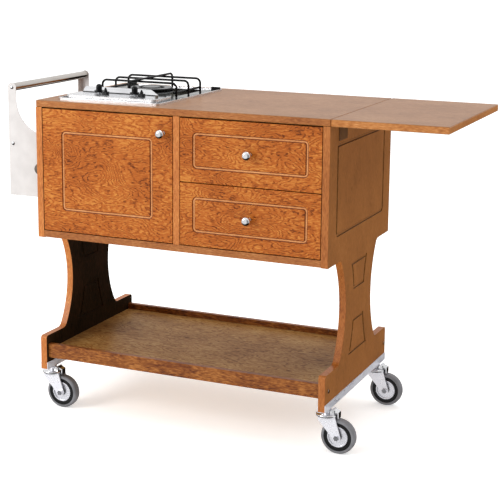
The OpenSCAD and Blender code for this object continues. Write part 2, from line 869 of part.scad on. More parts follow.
module tap_body(x) {
    difference() {
        translate([x - tap_block.x / 2, tap_y - tap_block.y / 2, tap_top - tap_block.z]) cube(tap_block);
        translate([x, tap_y, tap_top - spindle_in - push - gap])
            cylinder(r = spindle_d / 2 + fit, h = spindle_in + push + gap + past);
    }
}

module feed_tube_bent() {
    y0 = tap_y + tap_block.y / 2;
    x1 = burner_at.x - boss_d / 2;
    translate([0, 0, feed_z]) {
        translate([tap_x[0], burner_at.y - feed_bend, 0]) rotate([90, 0, 0])
            cylinder(d = feed_d, h = burner_at.y - feed_bend - y0);
        translate([tap_x[0] + feed_bend, burner_at.y - feed_bend, 0]) rotate(90)
            rotate_extrude(angle = 90) translate([feed_bend, 0]) circle(d = feed_d);
        translate([tap_x[0] + feed_bend, burner_at.y, 0]) rotate([0, 90, 0])
            cylinder(d = feed_d, h = x1 - tap_x[0] - feed_bend + past);
    }
}

module gas_manifold() {
    x = [tap_x[0] - tap_end, tap_x[1] + tap_end];
    y = tap_y - manifold / 2;
    color(zinc) {
        box([x[0], y, manifold_z], [x[1], y + manifold, manifold_z + manifold]);
        for (t = tap_x) tap_body(t);
        difference() {
            feed_tube_bent();
            translate([burner_at.x, burner_at.y, manifold_z])
                cylinder(d = boss_d + 2 * fit, h = top_z - manifold_z);
        }
        jet_y = burner_at.y - boss_d / 2 - jet_block.y;
        bar_y([tap_x[1], feed_z], tap_y + tap_block.y / 2, jet_y, feed_d / 2);
        bar_x([tap_y, manifold_z + manifold / 2], x[0] - hose_tail_l, x[0], hose_tail_d / 2);
    }
}

module tap_spindle(x) {
    z = tap_top - spindle_in;
    translate([x, tap_y, z]) cylinder(d = spindle_d, h = spindle_top - z);
}

module tap_knob(x) {
    grip_h = tap_knob_h - skirt_h;
    grip_r = tap_grip_d / 2;
    translate([x, tap_y, knob_base]) difference() {
        union() {
            cylinder(d = tap_skirt_d, h = skirt_h);
            cylinder(r = grip_r, h = tap_knob_h - grip_r);
            intersection() {
                translate([0, 0, tap_knob_h - grip_r]) sphere(grip_r);
                cylinder(r = grip_r, h = tap_knob_h);
            }
            translate([-1.5, -grip_r - 1.5, 0]) cube([3, grip_r, skirt_h + grip_h / 2]);
        }
        translate([0, 0, -past]) cylinder(r = spindle_d / 2 + fit, h = tap_knob_h - knob_roof + past);
    }
}

module left_tap_spindle() { color(zinc) tap_spindle(tap_x[0]); }

module right_tap_spindle() { color(zinc) tap_spindle(tap_x[1]); }

module left_tap_knob() { color(dark) tap_knob(tap_x[0]); }

module right_tap_knob() { color(dark) tap_knob(tap_x[1]); }

module igniter_bases() {
    half = [igniter_base.x / 2, igniter_base.y / 2];
    color(dark) for (x = igniter_x) translate([x, igniter_y, 0]) flat(panel_z, panel_z + igniter_base.z)
        difference() {
            rounded(-half, half, 4);
            circle(d = igniter_d + 2 * fit);
        }
}

module igniter_button(x) {
    translate([x, igniter_y, panel_z + igniter_base.z - igniter_stem])
        cylinder(d = igniter_d, h = igniter_stem + 3);
    translate([x, igniter_y, panel_z + igniter_base.z + 3])
        cylinder(d1 = igniter_d, d2 = igniter_d / 3, h = igniter_tip - 3);
}

module left_igniter_button() { color(dark) igniter_button(igniter_x[0]); }

module right_igniter_button() { color(dark) igniter_button(igniter_x[1]); }

// Door and drawer fronts: a board with its routed frame and the bore for the knob's screw
module front_board(x, z, margin, at) {
    inset = [margin, margin];
    difference() {
        box([x[0], 0, z[0]], [x[1], board_t, z[1]]);
        upright(-past, groove_deep) frame_groove([x[0], z[0]] + inset, [x[1], z[1]] - inset);
        bar_y(at, -past, board_t + past, knob_stud / 2 + fit);
    }
}

module knob(at) {
    head_r = knob_head / 2;
    translate([at.x, 0, at.y]) rotate([90, 0, 0]) {
        rotate_extrude() {
            square([knob_neck / 2 + 1, 2]);
            square([knob_neck / 2, knob_out - head_r]);
            translate([0, knob_out - knob_head]) square([knob_d / 2 - head_r, knob_head]);
            intersection() {
                translate([knob_d / 2 - head_r, knob_out - head_r]) circle(head_r);
                square([knob_d, 2 * knob_out]);
            }
        }
        translate([0, 0, -board_t]) cylinder(d = knob_stud, h = board_t + past);
    }
}

module door_panel() {
    color(front_wood) difference() {
        front_board(door_x, front_z, door_margin, door_knob_at);
        for (z = hinge_z) bar_y([cup_x, z], board_t - cup_deep, board_t + past, cup_d / 2 + fit);
    }
}

module door_knob() { color(steel) knob(door_knob_at); }

module door_hinge_cups() {
    x = hinge_arm_x + gap;
    color(steel) for (z = hinge_z) {
        bar_y([cup_x, z], board_t - cup_deep, board_t + cup_flange.y / 2, cup_d / 2);
        translate([x, board_t, z - cup_flange.z / 2]) cube(cup_flange);
        translate([x, board_t, z - link.z / 2]) cube(link + [0, cup_flange.y, 0]);
    }
}

module door_fittings() {
    arm_y = board_t + 2;
    color(zinc) {
        for (z = hinge_z) {
            translate([board_t, board_t + 10, z - hinge_plate.z / 2]) cube(hinge_plate);
            box([board_t + hinge_plate.x / 2, arm_y, z - hinge_arm_z],
                [hinge_arm_x, board_t + 10 + hinge_plate.y, z + hinge_arm_z]);
        }
        translate([divider_x - catch_block.x, board_t + gap, catch_z]) cube(catch_block);
    }
}

module drawer_front(z) {
    front_board(drawer_x, z, drawer_margin, [drawer_knob_x, (z[0] + z[1]) / 2]);
}

module drawer_box(z) {
    z0 = z[0] + drawer_rise;
    z1 = z0 + drawer_h;
    mid = (z0 + z1) / 2;
    half = runner_h / 2 + gap;
    x = [box_x[0] + drawer_t, box_x[1] - drawer_t];
    y = [box_y[0] + drawer_t, box_y[1] - drawer_t];
    bottom = z0 + drawer_floor_rise;
    deep = runner_w - drawer_gap + runner_slack;
    for (s = [0, 1]) difference() {
        box([s == 0 ? box_x[0] : x[1], box_y[0], z0], [s == 0 ? x[0] : box_x[1], box_y[1], z1]);
        box([s == 0 ? box_x[0] - past : box_x[1] - deep, box_y[0] - past, mid - half],
            [s == 0 ? box_x[0] + deep : box_x[1] + past, box_y[1] + past, mid + half]);
    }
    box([x[0], box_y[0], z0], [x[1], y[0], z1]);
    box([x[0], y[1], z0], [x[1], box_y[1], z1]);
    box([x[0], y[0], bottom], [x[1], y[1], bottom + drawer_floor_t]);
}

module upper_drawer_front() { color(front_wood) drawer_front(upper_z); }

module upper_drawer_box() { color(plywood) drawer_box(upper_z); }

module upper_drawer_knob() { color(steel) knob([drawer_knob_x, (upper_z[0] + upper_z[1]) / 2]); }

module lower_drawer_front() { color(front_wood) drawer_front(lower_z); }

module lower_drawer_box() { color(plywood) drawer_box(lower_z); }

module lower_drawer_knob() { color(steel) knob([drawer_knob_x, (lower_z[0] + lower_z[1]) / 2]); }

// Flap and its two hinges

module flap_board() {
    color(top_wood) slab([flap_x[0], 0, top_under], [flap_x[1], cab_d, top_z]);
}

module flap_hinge_leaves() {
    color(zinc) both_y() difference() {
        union() {
            bar_y(hinge_at, hinge_in - knuckle_half, hinge_in + knuckle_half, knuckle_d / 2);
            box([hinge_at.x, hinge_in - knuckle_half, top_under - leaf_t],
                [hinge_at.x + leaf_start + past, hinge_in + knuckle_half, top_under]);
            box([hinge_at.x + leaf_start, hinge_in - hinge_w / 2, top_under - leaf_t],
                [hinge_at.x + leaf_l, hinge_in + hinge_w / 2, top_under]);
        }
        bar_y(hinge_at, 0, cab_d, hinge_pin_d / 2 + fit);
    }
}

module flap_hinge_mounts() {
    inner = knuckle_half + gap;
    color(zinc) both_y() {
        difference() {
            union() {
                box([cab_w, hinge_in - hinge_w / 2, hinge_at.y - leaf_h],
                    [cab_w + leaf_t, hinge_in + hinge_w / 2, hinge_at.y]);
                bar_y(hinge_at, hinge_in - hinge_w / 2, hinge_in + hinge_w / 2, knuckle_d / 2);
            }
            bar_y(hinge_at, hinge_in - inner, hinge_in + inner, knuckle_d / 2 + gap);
            bar_y(hinge_at, 0, cab_d, hinge_pin_d / 2 + fit);
        }
        bar_y(hinge_at, hinge_in - hinge_w / 2, hinge_in + hinge_w / 2, hinge_pin_d / 2);
    }
}

// Casters, drawn about the swivel axis with the wheel trailing towards +x

module at_caster(right, rear) {
    x = right ? cab_w - board_t / 2 : board_t / 2;
    y = rear ? cab_d - caster_in : caster_in;
    translate([x, y, 0]) children();
}

module caster_stems() {
    color(zinc) for (right = [false, true], rear = [false, true]) at_caster(right, rear) {
        translate([0, 0, stem_z]) cylinder(d = stem_head_d, h = stem_head_h);
        translate([0, 0, stem_z]) cylinder(d = stem_d, h = foot_z + stem_in - stem_z);
        translate([0, 0, foot_z - collar_h]) cylinder(d = collar_d, h = collar_h);
    }
}

module fork_leg() {
    front = touch([fork_front, crown_z - fork_straight], axle_at, fork_end_r, 1);
    rear = touch([fork_rear, crown_z], axle_at, fork_end_r, -1);
    difference() {
        union() {
            polygon([[fork_front, crown_top], [fork_front, crown_z - fork_straight], front, axle_at, rear,
                [fork_rear, crown_z], [fork_rear, crown_top]]);
            translate(axle_at) circle(fork_end_r);
        }
        translate(axle_at) circle(axle_d / 2 + fit);
    }
}

module brake_ear() {
    difference() {
        union() {
            translate(brake_at) circle(ear_r);
            translate([brake_at.x - ear_r, crown_z]) square([2 * ear_r, brake_at.y - crown_z]);
        }
        translate(brake_at) circle(brake_pin_d / 2 + fit);
    }
}

module swivel_head() {
    r = head_d / 2;
    mid = head_top - head_roll - 0.5;
    rotate_extrude() {
        translate([0, mid - head_roll]) square([r - head_roll, 2 * head_roll]);
        translate([r - head_roll, mid]) circle(head_roll);
        translate([0, mid]) square([r - 2 * head_roll, head_top - mid]);
    }
}

module fork() {
    half = fork_half + fork_t;
    ear = brake_half + gap;
    difference() {
        union() {
            box([fork_front, -half, crown_z], [fork_rear, half, crown_top]);
            swivel_head();
            upright(fork_half, half) fork_leg();
            upright(-half, -fork_half) fork_leg();
            upright(ear, ear + fork_t) brake_ear();
            upright(-ear - fork_t, -ear) brake_ear();
        }
        translate([0, 0, crown_z - past]) cylinder(r = stem_d / 2 + fit, h = caster_h);
    }
    bar_y(axle_at, -half - past, half + past, axle_d / 2);
    for (y = [-half - fit, half + fit + nut_h])
        translate([axle_at.x, y, axle_at.y]) rotate([90, 0, 0]) cylinder(r = nut_r, h = nut_h, $fn = 6);
    bar_y(brake_at, -ear - fork_t - past, ear + fork_t + past, brake_pin_d / 2);
}

// Side disc of the wheel: a shallow dish with a rolled rim, drawn as radius and half width
module disc_outline() {
    r = disc_d / 2 - gap;
    outer = rim_half + 1.5;
    translate([boss_r + fit, outer - disc_rim]) square([r - boss_r - fit, disc_t]);
    translate([r - disc_rim, outer - disc_rim]) square([disc_rim, disc_rim - 1]);
    translate([r - disc_rim + 1, outer - 2]) square([disc_rim - 2, 2]);
    for (x = [r - disc_rim + 1, r - 1]) translate([x, outer - 1]) circle(1);
}

module wheel_hub() {
    translate([axle_at.x, 0, axle_at.y]) rotate([90, 0, 0]) {
        rotate_extrude() {
            translate([axle_d / 2 + fit, gap - fork_half])
                square([boss_r - axle_d / 2 - fit, fork_gap - 2 * gap]);
            translate([boss_r - past, -3]) square([rim_r - boss_r, 6]);
            translate([disc_d / 2, -rim_half]) square([rim_r - disc_d / 2, 2 * rim_half]);
        }
        for (s = [0, 1]) mirror([0, 0, s]) rotate_extrude() disc_outline();
    }
}

module tyre() {
    shoulder = tyre_t - 2;
    flat_half = tyre_w / 2 - shoulder;
    translate([axle_at.x, 0, axle_at.y]) rotate([90, 0, 0]) rotate_extrude() {
        translate([rim_r + fit, -tyre_w / 2]) square([2 - fit, tyre_w]);
        translate([rim_r + 1, -flat_half]) square([tyre_t - 1, 2 * flat_half]);
        intersection() {
            for (z = [-flat_half, flat_half]) translate([rim_r + 2, z]) circle(shoulder);
            translate([rim_r + 1, -tyre_w]) square([tyre_t, 2 * tyre_w]);
        }
    }
}

module brake() {
    outer = shoe_x + fork_t;
    top = touch([outer, shoe_bend_z], brake_at, brake_d / 2, 1);
    difference() {
        union() {
            bar_y(brake_at, -brake_half, brake_half, brake_d / 2);
            upright(-shoe_half, shoe_half) polygon([brake_at, top, [outer, shoe_bend_z], [outer, shoe_z],
                [shoe_x, shoe_z], [shoe_x, shoe_bend_z - fork_t]]);
        }
        bar_y(brake_at, -brake_half - past, brake_half + past, brake_pin_d / 2 + fit);
    }
}

module front_left_fork() { color(zinc) at_caster(false, false) fork(); }

module front_right_fork() { color(zinc) at_caster(true, false) fork(); }

module rear_left_fork() { color(zinc) at_caster(false, true) fork(); }

module rear_right_fork() { color(zinc) at_caster(true, true) fork(); }

module front_left_hub() { color(steel) at_caster(false, false) wheel_hub(); }

module front_right_hub() { color(steel) at_caster(true, false) wheel_hub(); }

module rear_left_hub() { color(steel) at_caster(false, true) wheel_hub(); }

module rear_right_hub() { color(steel) at_caster(true, true) wheel_hub(); }

module front_left_tyre() { color("#6a6a6a") at_caster(false, false) tyre(); }

module front_right_tyre() { color("#6a6a6a") at_caster(true, false) tyre(); }

module rear_left_tyre() { color("#6a6a6a") at_caster(false, true) tyre(); }

module rear_right_tyre() { color("#6a6a6a") at_caster(true, true) tyre(); }

module front_left_brake() { color(zinc) at_caster(false, false) brake(); }

module front_right_brake() { color(zinc) at_caster(true, false) brake(); }

module rear_left_brake() { color(zinc) at_caster(false, true) brake(); }

module rear_right_brake() { color(zinc) at_caster(true, true) brake(); }

// Moves cabinet coordinates so that the origin is the centre of the footprint, on the floor
module placed() {
    translate([(rack_reach - cab_w - flap_l) / 2, (knob_out - cab_d) / 2, 0]) children();
}

placed() left_side_panel();
placed() right_side_panel();
placed() worktop();
placed() cabinet_floor();
placed() centre_divider();
placed() back_panel();
placed() drawer_runners();
placed() shelf_board();
placed() shelf_rails();
placed() foot_channels();
placed() screws_and_bolts();
placed() rack_front_plate();
placed() rack_rear_plate();
placed() rack_floor();
placed() bottle_rail();
placed() handle_tube();
placed() rubber_buffers();
placed() hob_tray();
placed() burner_base();
placed() burner_outer_ring();
placed() burner_inner_cap();
placed() pan_support();
placed() gas_manifold();
placed() left_tap_spindle();
placed() right_tap_spindle();
placed() left_tap_knob();
placed() right_tap_knob();
placed() igniter_bases();
placed() left_igniter_button();
placed() right_igniter_button();
placed() door_panel();
placed() door_knob();
placed() door_hinge_cups();
placed() door_fittings();
placed() upper_drawer_front();
placed() upper_drawer_box();
placed() upper_drawer_knob();
placed() lower_drawer_front();
placed() lower_drawer_box();
placed() lower_drawer_knob();
placed() flap_board();
placed() flap_hinge_leaves();
placed() flap_hinge_mounts();
placed() caster_stems();
placed() front_left_fork();
placed() front_right_fork();
placed() rear_left_fork();
placed() rear_right_fork();
placed() front_left_hub();
placed() front_right_hub();
placed() rear_left_hub();
placed() rear_right_hub();
placed() front_left_tyre();
placed() front_right_tyre();
placed() rear_left_tyre();
placed() rear_right_tyre();
placed() front_left_brake();
placed() front_right_brake();
placed() rear_left_brake();
placed() rear_right_brake();
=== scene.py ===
# %% [markdown]
# # Flambe cart
# A waiter's cart for cooking at the table: a lacquered birch cabinet on two waisted legs, a gas hob let
# into its worktop, a drop-leaf flap, a bottle rack of sheet steel and four braked casters. The solids
# come from the CAD model, and this lesson gives each of them its eased edges, its finish and the small
# details that a camera sees.

# %% Load the frame
import json
from math import cos, radians, sin, tau

import bmesh
import bpy
from mathutils import Matrix, Vector


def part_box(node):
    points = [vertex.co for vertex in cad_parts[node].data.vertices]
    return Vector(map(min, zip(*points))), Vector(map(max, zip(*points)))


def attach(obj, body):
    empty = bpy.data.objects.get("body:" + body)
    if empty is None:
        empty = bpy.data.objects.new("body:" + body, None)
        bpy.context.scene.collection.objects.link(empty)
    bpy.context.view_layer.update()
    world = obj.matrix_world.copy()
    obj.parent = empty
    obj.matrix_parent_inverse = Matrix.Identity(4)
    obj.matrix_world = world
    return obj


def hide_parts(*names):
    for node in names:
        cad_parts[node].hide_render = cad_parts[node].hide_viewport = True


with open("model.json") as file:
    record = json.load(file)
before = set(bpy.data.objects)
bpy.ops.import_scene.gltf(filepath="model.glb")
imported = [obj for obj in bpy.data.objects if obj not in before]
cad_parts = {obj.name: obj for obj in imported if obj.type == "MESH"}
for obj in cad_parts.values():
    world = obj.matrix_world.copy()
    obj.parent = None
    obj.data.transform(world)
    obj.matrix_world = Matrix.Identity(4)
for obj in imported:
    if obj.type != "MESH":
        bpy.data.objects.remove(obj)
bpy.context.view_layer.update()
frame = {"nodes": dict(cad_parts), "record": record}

MM = 0.001
nodes = frame["nodes"]
bodies = frame["record"]["behaviour"]["bodies"]
body_of = {node: body for body, members in bodies.items() for node in members}

# %% [markdown]
# ## Camera
# The photo was taken with a long lens from in front and to the right, a little above the worktop. A
# camera that was fitted to the corners of the cabinet gives the place, the turn and the lens. It could
# be aimed with a Track To constraint, but a matrix made from the three angles is exact and stays put.

# %% Camera
YAW, PITCH, ROLL = radians(23.46), radians(11.22), radians(0.53)
FOCAL_PX, FRAME_PX, SENSOR_MM = 1325.3, 500, 36

ahead = Vector((-sin(YAW) * cos(PITCH), cos(YAW) * cos(PITCH), -sin(PITCH)))
level = Vector((cos(YAW), sin(YAW), 0))
upward = level.cross(ahead)
right = cos(ROLL) * level + sin(ROLL) * upward
top = cos(ROLL) * upward - sin(ROLL) * level

lens = bpy.data.cameras.new("photo camera")
lens.sensor_width = SENSOR_MM
lens.lens = FOCAL_PX * SENSOR_MM / FRAME_PX
lens.shift_y = -0.1
camera = bpy.data.objects.new("photo camera", lens)
camera.matrix_world = Matrix((
    (right.x, top.x, -ahead.x, 1.3915),
    (right.y, top.y, -ahead.y, -3.164),
    (right.z, top.z, -ahead.z, 1.272),
    (0, 0, 0, 1)))
bpy.context.scene.collection.objects.link(camera)
bpy.context.scene.camera = camera
print(f"lens {lens.lens:.1f} mm at {tuple(round(v, 3) for v in camera.location)}")

# %% [markdown]
# ## Helpers for finishes
# Every finish is a small tree of nodes. One function adds a node with its settings and its links, and
# another turns the sRGB hex values that a painter would note down into the linear numbers that the
# shader works in. Patterns read Object coordinates in metres, so their scale can be given in real
# millimetres: a pattern that is 4 mm wide has the factor 1000 / 4.

# %% Helpers for finishes
def linear(code, alpha=1.0):
    """An sRGB hex colour as the shader's linear numbers."""
    parts = [int(code[i:i + 2], 16) / 255 for i in (1, 3, 5)]
    return tuple(c / 12.92 if c <= 0.04045 else ((c + 0.055) / 1.055) ** 2.4 for c in parts) + (alpha,)


def add(tree, kind, links=None, stops=None, **settings):
    """Adds a node, gives it its settings and ramp stops, and links or sets its sockets."""
    node = tree.nodes.new(kind)
    for name, value in settings.items():
        setattr(node, name, value)
    for socket, value in (links or {}).items():
        if isinstance(value, bpy.types.NodeSocket):
            tree.links.new(value, node.inputs[socket])
        else:
            node.inputs[socket].default_value = value
    for at, (place, colour) in enumerate(stops or []):
        ramp = node.color_ramp.elements
        stop = ramp[at] if at < 2 else ramp.new(place)
        stop.position, stop.color = place, linear(colour)
    return node


def new_finish(name, **sockets):
    """A material with its shader, whose constant sockets are set here, and its object coordinates."""
    finish = bpy.data.materials.new(name)
    finish.use_nodes = True
    tree = finish.node_tree
    shader = tree.nodes["Principled BSDF"]
    for socket, value in sockets.items():
        shader.inputs[socket.replace("_", " ")].default_value = value
    place = add(tree, "ShaderNodeTexCoord").outputs["Object"]
    return finish, tree, shader, place


def pattern(tree, place, size_mm, detail=2.0, distortion=0.0):
    """Noise whose features are about size_mm long in x, y and z."""
    factor = tuple(1000 / s for s in size_mm)
    spread = add(tree, "ShaderNodeVectorMath", {0: place, 1: factor}, operation="MULTIPLY").outputs[0]
    return add(tree, "ShaderNodeTexNoise",
               {"Vector": spread, "Scale": 1.0, "Detail": detail, "Distortion": distortion}).outputs[0]


# %% [markdown]
# ## Birch veneer
# The boards are faced with rotary-cut birch, stained the colour of cherry and lacquered. A rotary cut
# peels the log, so the year rings show as loops like the lines of a map, and curly birch adds short
# ripples across them. An image would give this at once, but a pattern of its own can be: the rings
# are the contour lines of a slow noise, and the ripples and fibres are two stretched noises.

# %% Birch veneer
AXIS = {"x": 0, "y": 1, "z": 2}


def by_grain(along, across, axis):
    """Feature sizes in x, y and z for a grain that runs along an axis."""
    size = [across] * 3
    size[AXIS[axis]] = along
    return size


def veneer(name, shades, axis, rings=16, ring_share=0.05, ripple=0.35, fibres=0.45, blotch=0.30, coat=0.05,
           sheen=0.25, rough=0.38):
    """Stained and lacquered birch. shades are four hex colours, from the darkest ring to the palest."""
    finish, tree, shader, place = new_finish(
        name, Coat_Weight=coat, Coat_Roughness=0.18, Coat_IOR=1.5, IOR=1.46, Specular_IOR_Level=sheen)
    slow = pattern(tree, place, by_grain(170, 62, axis), 1.5, 0.3)
    ruffle = pattern(tree, place, by_grain(16, 7, axis), 2.0)
    height = add(tree, "ShaderNodeMath", {0: ruffle, 1: 0.08, 2: slow}, operation="MULTIPLY_ADD").outputs[0]
    turns = add(tree, "ShaderNodeMath", {0: height, 1: rings * tau}, operation="MULTIPLY").outputs[0]
    ring = add(tree, "ShaderNodeMath", {0: turns}, operation="SINE").outputs[0]
    curl = pattern(tree, place, by_grain(30, 8, axis), 3.0, 1.5)
    # Birch fibres are under 0.1 mm wide, and are drawn 2.2 mm wide so that they show in the render
    fibre = pattern(tree, place, by_grain(12, 2.2, axis), 1.0)
    cloud = pattern(tree, place, by_grain(150, 110, axis), 2.0)
    line = add(tree, "ShaderNodeMapRange",
               {"Value": ring, "From Min": 0.0, "From Max": 0.9}).outputs["Result"]
    dash = add(tree, "ShaderNodeMapRange",
               {"Value": fibre, "From Min": 0.38, "From Max": 0.60}).outputs["Result"]
    broken = add(tree, "ShaderNodeMath", {0: line, 1: dash}, operation="MULTIPLY").outputs[0]
    tone = add(tree, "ShaderNodeMath", {0: broken, 1: -ring_share, 2: 0.5 + 0.3 * ring_share},
               operation="MULTIPLY_ADD").outputs[0]
    for part, share in ((curl, ripple), (fibre, fibres), (cloud, blotch)):
        offset = add(tree, "ShaderNodeMath", {0: part, 1: 0.5}, operation="SUBTRACT").outputs[0]
        tone = add(tree, "ShaderNodeMath", {0: offset, 1: share, 2: tone},
                   operation="MULTIPLY_ADD").outputs[0]
    stops = [(0.32, shades[0]), (0.70, shades[3]), (0.45, shades[1]), (0.56, shades[2])]
    colour = add(tree, "ShaderNodeValToRGB", {"Fac": tone}, stops).outputs["Color"]
    gloss = add(tree, "ShaderNodeMapRange",
                {"Value": tone, "To Min": rough + 0.08, "To Max": rough - 0.06}).outputs["Result"]
    grain = add(tree, "ShaderNodeBump",
                {"Height": fibre, "Strength": 0.12, "Distance": 0.15 * MM}).outputs["Normal"]
    tree.links.new(colour, shader.inputs["Base Color"])
    tree.links.new(gloss, shader.inputs["Roughness"])
    tree.links.new(grain, shader.inputs["Normal"])
    return finish


# Fronts: the liveliest leaves of the veneer, with map-like rings and a soft gloss
front_birch = veneer("cherry stained birch, fronts", ("#582608", "#924A12", "#A5571C", "#C07C36"), "x",
                     rings=24, ring_share=0.28, ripple=0.26, fibres=0.40, blotch=0.35, coat=0.03, sheen=0.16)
# Side panels: a calm leaf, nearly matt, with the grain upright
side_birch = veneer("cherry stained birch, sides", ("#683F1A", "#86552B", "#925D2F", "#A67241"), "z",
                    rings=9, ring_share=0.03, ripple=0.2, fibres=0.3, coat=0.0, sheen=0.03, rough=0.5)
# Worktop and flap: paler from wear and cleaning, with the gloss of fresh lacquer
top_birch = veneer("cherry stained birch, worktop", ("#6C4222", "#885A30", "#94643A", "#A87C50"), "x",
                   rings=9, ring_share=0.03, ripple=0.2, fibres=0.5, sheen=0.22, rough=0.36)
# Shelf: an olive brown with dark loops, and little gloss in the cabinet's shade
shelf_birch = veneer("cherry stained birch, shelf", ("#643A18", "#8A6030", "#9E7440", "#B8945C"), "x",
                     rings=18, ring_share=0.24, ripple=0.36, fibres=0.35, blotch=0.34, coat=0.01, sheen=0.06)
# Back panel: a plain leaf that nobody was meant to look at
back_birch = veneer("cherry stained birch, back", ("#643614", "#86522A", "#935D30", "#A87442"), "x",
                    rings=9, ring_share=0.06, ripple=0.22, fibres=0.35, blotch=0.28, coat=0.01, sheen=0.06)
# Lipping: solid birch strips, brighter than the veneer because their grain is straight
lipping = veneer("cherry stained birch, lipping", ("#844212", "#AA622C", "#BA7236", "#D29050"), "z",
                 rings=5, ring_share=0.02, ripple=0.2)
# The same strips on the right panel, darker as painted shade for the side away from the key light
shaded_right_lipping = veneer("cherry stained birch, lipping with painted shade",
                       ("#743A10", "#965624", "#A6642E", "#BE8046"), "z",
                       rings=5, ring_share=0.02, ripple=0.2)
# Long strips under the worktop's edge and the cabinet's floor, with the grain along x
edge_lipping = veneer("cherry stained birch, long lipping", ("#703A16", "#905426", "#A06432", "#B88050"), "x",
                      rings=5, ring_share=0.02, ripple=0.2)
# The flap's strips: a paler copy of the lipping, as painted light
lit_flap_lipping = veneer("cherry stained birch, flap lipping with painted light", ("#7E421A", "#A2642E", "#B4763E", "#CC945E"), "x",
                      rings=5, ring_share=0.02, ripple=0.2)
# Shelf rails: soaked with stain, so the ripples turn almost black
rail_birch = veneer("dark stained birch, rails", ("#381806", "#6C3610", "#8A501C", "#AA6E34"), "x",
                    rings=6, ring_share=0.06, ripple=0.5)
# Inner faces of the side panels: near black, as painted shade
painted_shade_birch = veneer("dark stained birch, inner faces", ("#140E08", "#241A0E", "#302012", "#40281A"), "z",
                     rings=6, ring_share=0.03, ripple=0.3, coat=0.0, sheen=0.02)
# Painted shade in the coves of the side panels' grooves, a thin dark line
side_groove_shade = veneer("stain gathered in the side panels' grooves",
                     ("#4A2E12", "#5C3C1A", "#684622", "#7A5630"), "z",
                     rings=5, ring_share=0.02, ripple=0.2, coat=0.0, sheen=0.05, rough=0.5)
# Painted shade in the coves of the fronts' grooves, red under its gloss
groove_shade_birch = veneer("stain gathered in the grooves", ("#4A2008", "#6A300C", "#7C3C12", "#94501C"), "x",
                      rings=5, ring_share=0.02, ripple=0.2)
# The floor of those grooves, paler, as a painted highlight that shows as a light line
groove_floor_highlight = veneer("cherry stained birch, polished bead", ("#A86434", "#BE7A42", "#CE8E56", "#DAA06C"), "x",
                    rings=5, ring_share=0.02, ripple=0.2, coat=0.15)
print("veneers:", ", ".join(m.name for m in bpy.data.materials if "birch" in m.name or "stain" in m.name))

# %% [markdown]
# ## Plywood
# Drawer boxes and runners are bare birch plywood: pale, with soft fibres. It is seen only when a
# drawer is open, but it has the same birch pattern without stain or gloss.

# %% Plywood
# Sanded birch plywood: cream, dull, with short soft fibres
plywood = veneer("birch plywood, sanded", ("#B08A58", "#CDAA76", "#D8B888", "#E6CCA0"), "x",
                 rings=6, ring_share=0.1, ripple=0.15, blotch=0.3, coat=0.0, rough=0.6)

# %% [markdown]
# ## Metals
# The hob is brushed stainless steel, rolled and then ground along its length, so its roughness changes
# in long streaks. Its drip pan is coloured dark as a painted reflection, and the axle nuts are too. The
# handle and the rail are polished tube. Knobs, swivel heads and brake levers are chromium plated, which
# copies the polish under it and is nearly a mirror. Forks, wheel discs and channels are zinc plated,
# with a milky passivated skin and faint crystals. Hidden fittings are the same plate, left dull. The
# burner is cast alloy, blasted matt. One function makes them, because only colour, roughness, the share
# of bare metal and the direction of the streaks differ. Grinding lines are finer than 0.1 mm, so
# streaks of 2 to 3 mm stand in for them here.

# %% Metals
def metal(name, shades, rough, streak_mm, relief=0.0, bare=1.0):
    """A metal whose colour and roughness vary in streaks of streak_mm; it keeps the default IOR.

    bare is the share of bare metal, and the rest is the milky skin of a passivated plate.
    """
    finish, tree, shader, place = new_finish(name, Metallic=bare)
    streak = pattern(tree, place, streak_mm, 3.0)
    cloud = pattern(tree, place, (60, 60, 60), 2.0)
    tone = add(tree, "ShaderNodeMath", {0: streak, 1: cloud}, operation="ADD").outputs[0]
    colour = add(tree, "ShaderNodeValToRGB", {"Fac": tone}, [(0.7, shades[0]), (1.0, shades[1])])
    tone_range = {"Value": tone, "From Min": 0.7, "From Max": 1.3}
    gloss = add(tree, "ShaderNodeMapRange", {**tone_range, "To Min": rough[0], "To Max": rough[1]})
    tree.links.new(colour.outputs["Color"], shader.inputs["Base Color"])
    tree.links.new(gloss.outputs["Result"], shader.inputs["Roughness"])
    if relief:
        bump = add(tree, "ShaderNodeBump", {"Height": streak, "Strength": relief, "Distance": 0.05 * MM})
        tree.links.new(bump.outputs["Normal"], shader.inputs["Normal"])
    return finish


# Brushed stainless steel: nearly white, with long soft highlights
hob_steel = metal("stainless steel, brushed", ("#DADADD", "#E8E8EA"), (0.22, 0.30), (60, 2.5, 2.5), 0.08)
# Stainless steel of the drip pan, coloured dark as a painted reflection, and shinier where it is clean
pan_reflection_steel = metal("stainless steel, drip pan with painted dark reflection", ("#34342F", "#55534C"), (0.12, 0.26),
                  (25, 25, 25), 0.15)
# Polished tube: sharp light and dark bands along it, a little warm
tube_steel = metal("stainless steel, polished tube", ("#B2AAA2", "#C6C0BA"), (0.08, 0.13), (6, 90, 6), 0.05)
# Chromium plate: a nearly clear mirror of the white room and the dark below
chrome = metal("chromium plate, polished", ("#CFD0D2", "#E4E4E6"), (0.05, 0.10), (30, 30, 30))
# Bright zinc plate: pale, milky, with broad soft highlights
fork_plate = metal("zinc plate, bright", ("#EAEAF0", "#F2F2F8"), (0.24, 0.34), (8, 8, 8), 0.03,
                   bare=0.55)
# Passivated sheet: the palest of the plated parts, with a bluish cast
channel_plate = metal("zinc plate, passivated sheet", ("#DCDCE6", "#EAEAF2"), (0.26, 0.38), (8, 60, 8), 0.03,
                      bare=0.4)
# Spun disc: silvery, with faint marks of the spinning
disc_plate = metal("zinc plate, spun disc", ("#CECED6", "#EAEAF0"), (0.18, 0.30), (3, 20, 3), 0.05,
                   bare=0.75)
# Plated nut, coloured dark as a painted reflection: a small grey dot at each axle
nut_reflection_steel = metal("steel nut with painted dark reflection", ("#6A6A6C", "#8C8C90"), (0.16, 0.28), (5, 5, 5))
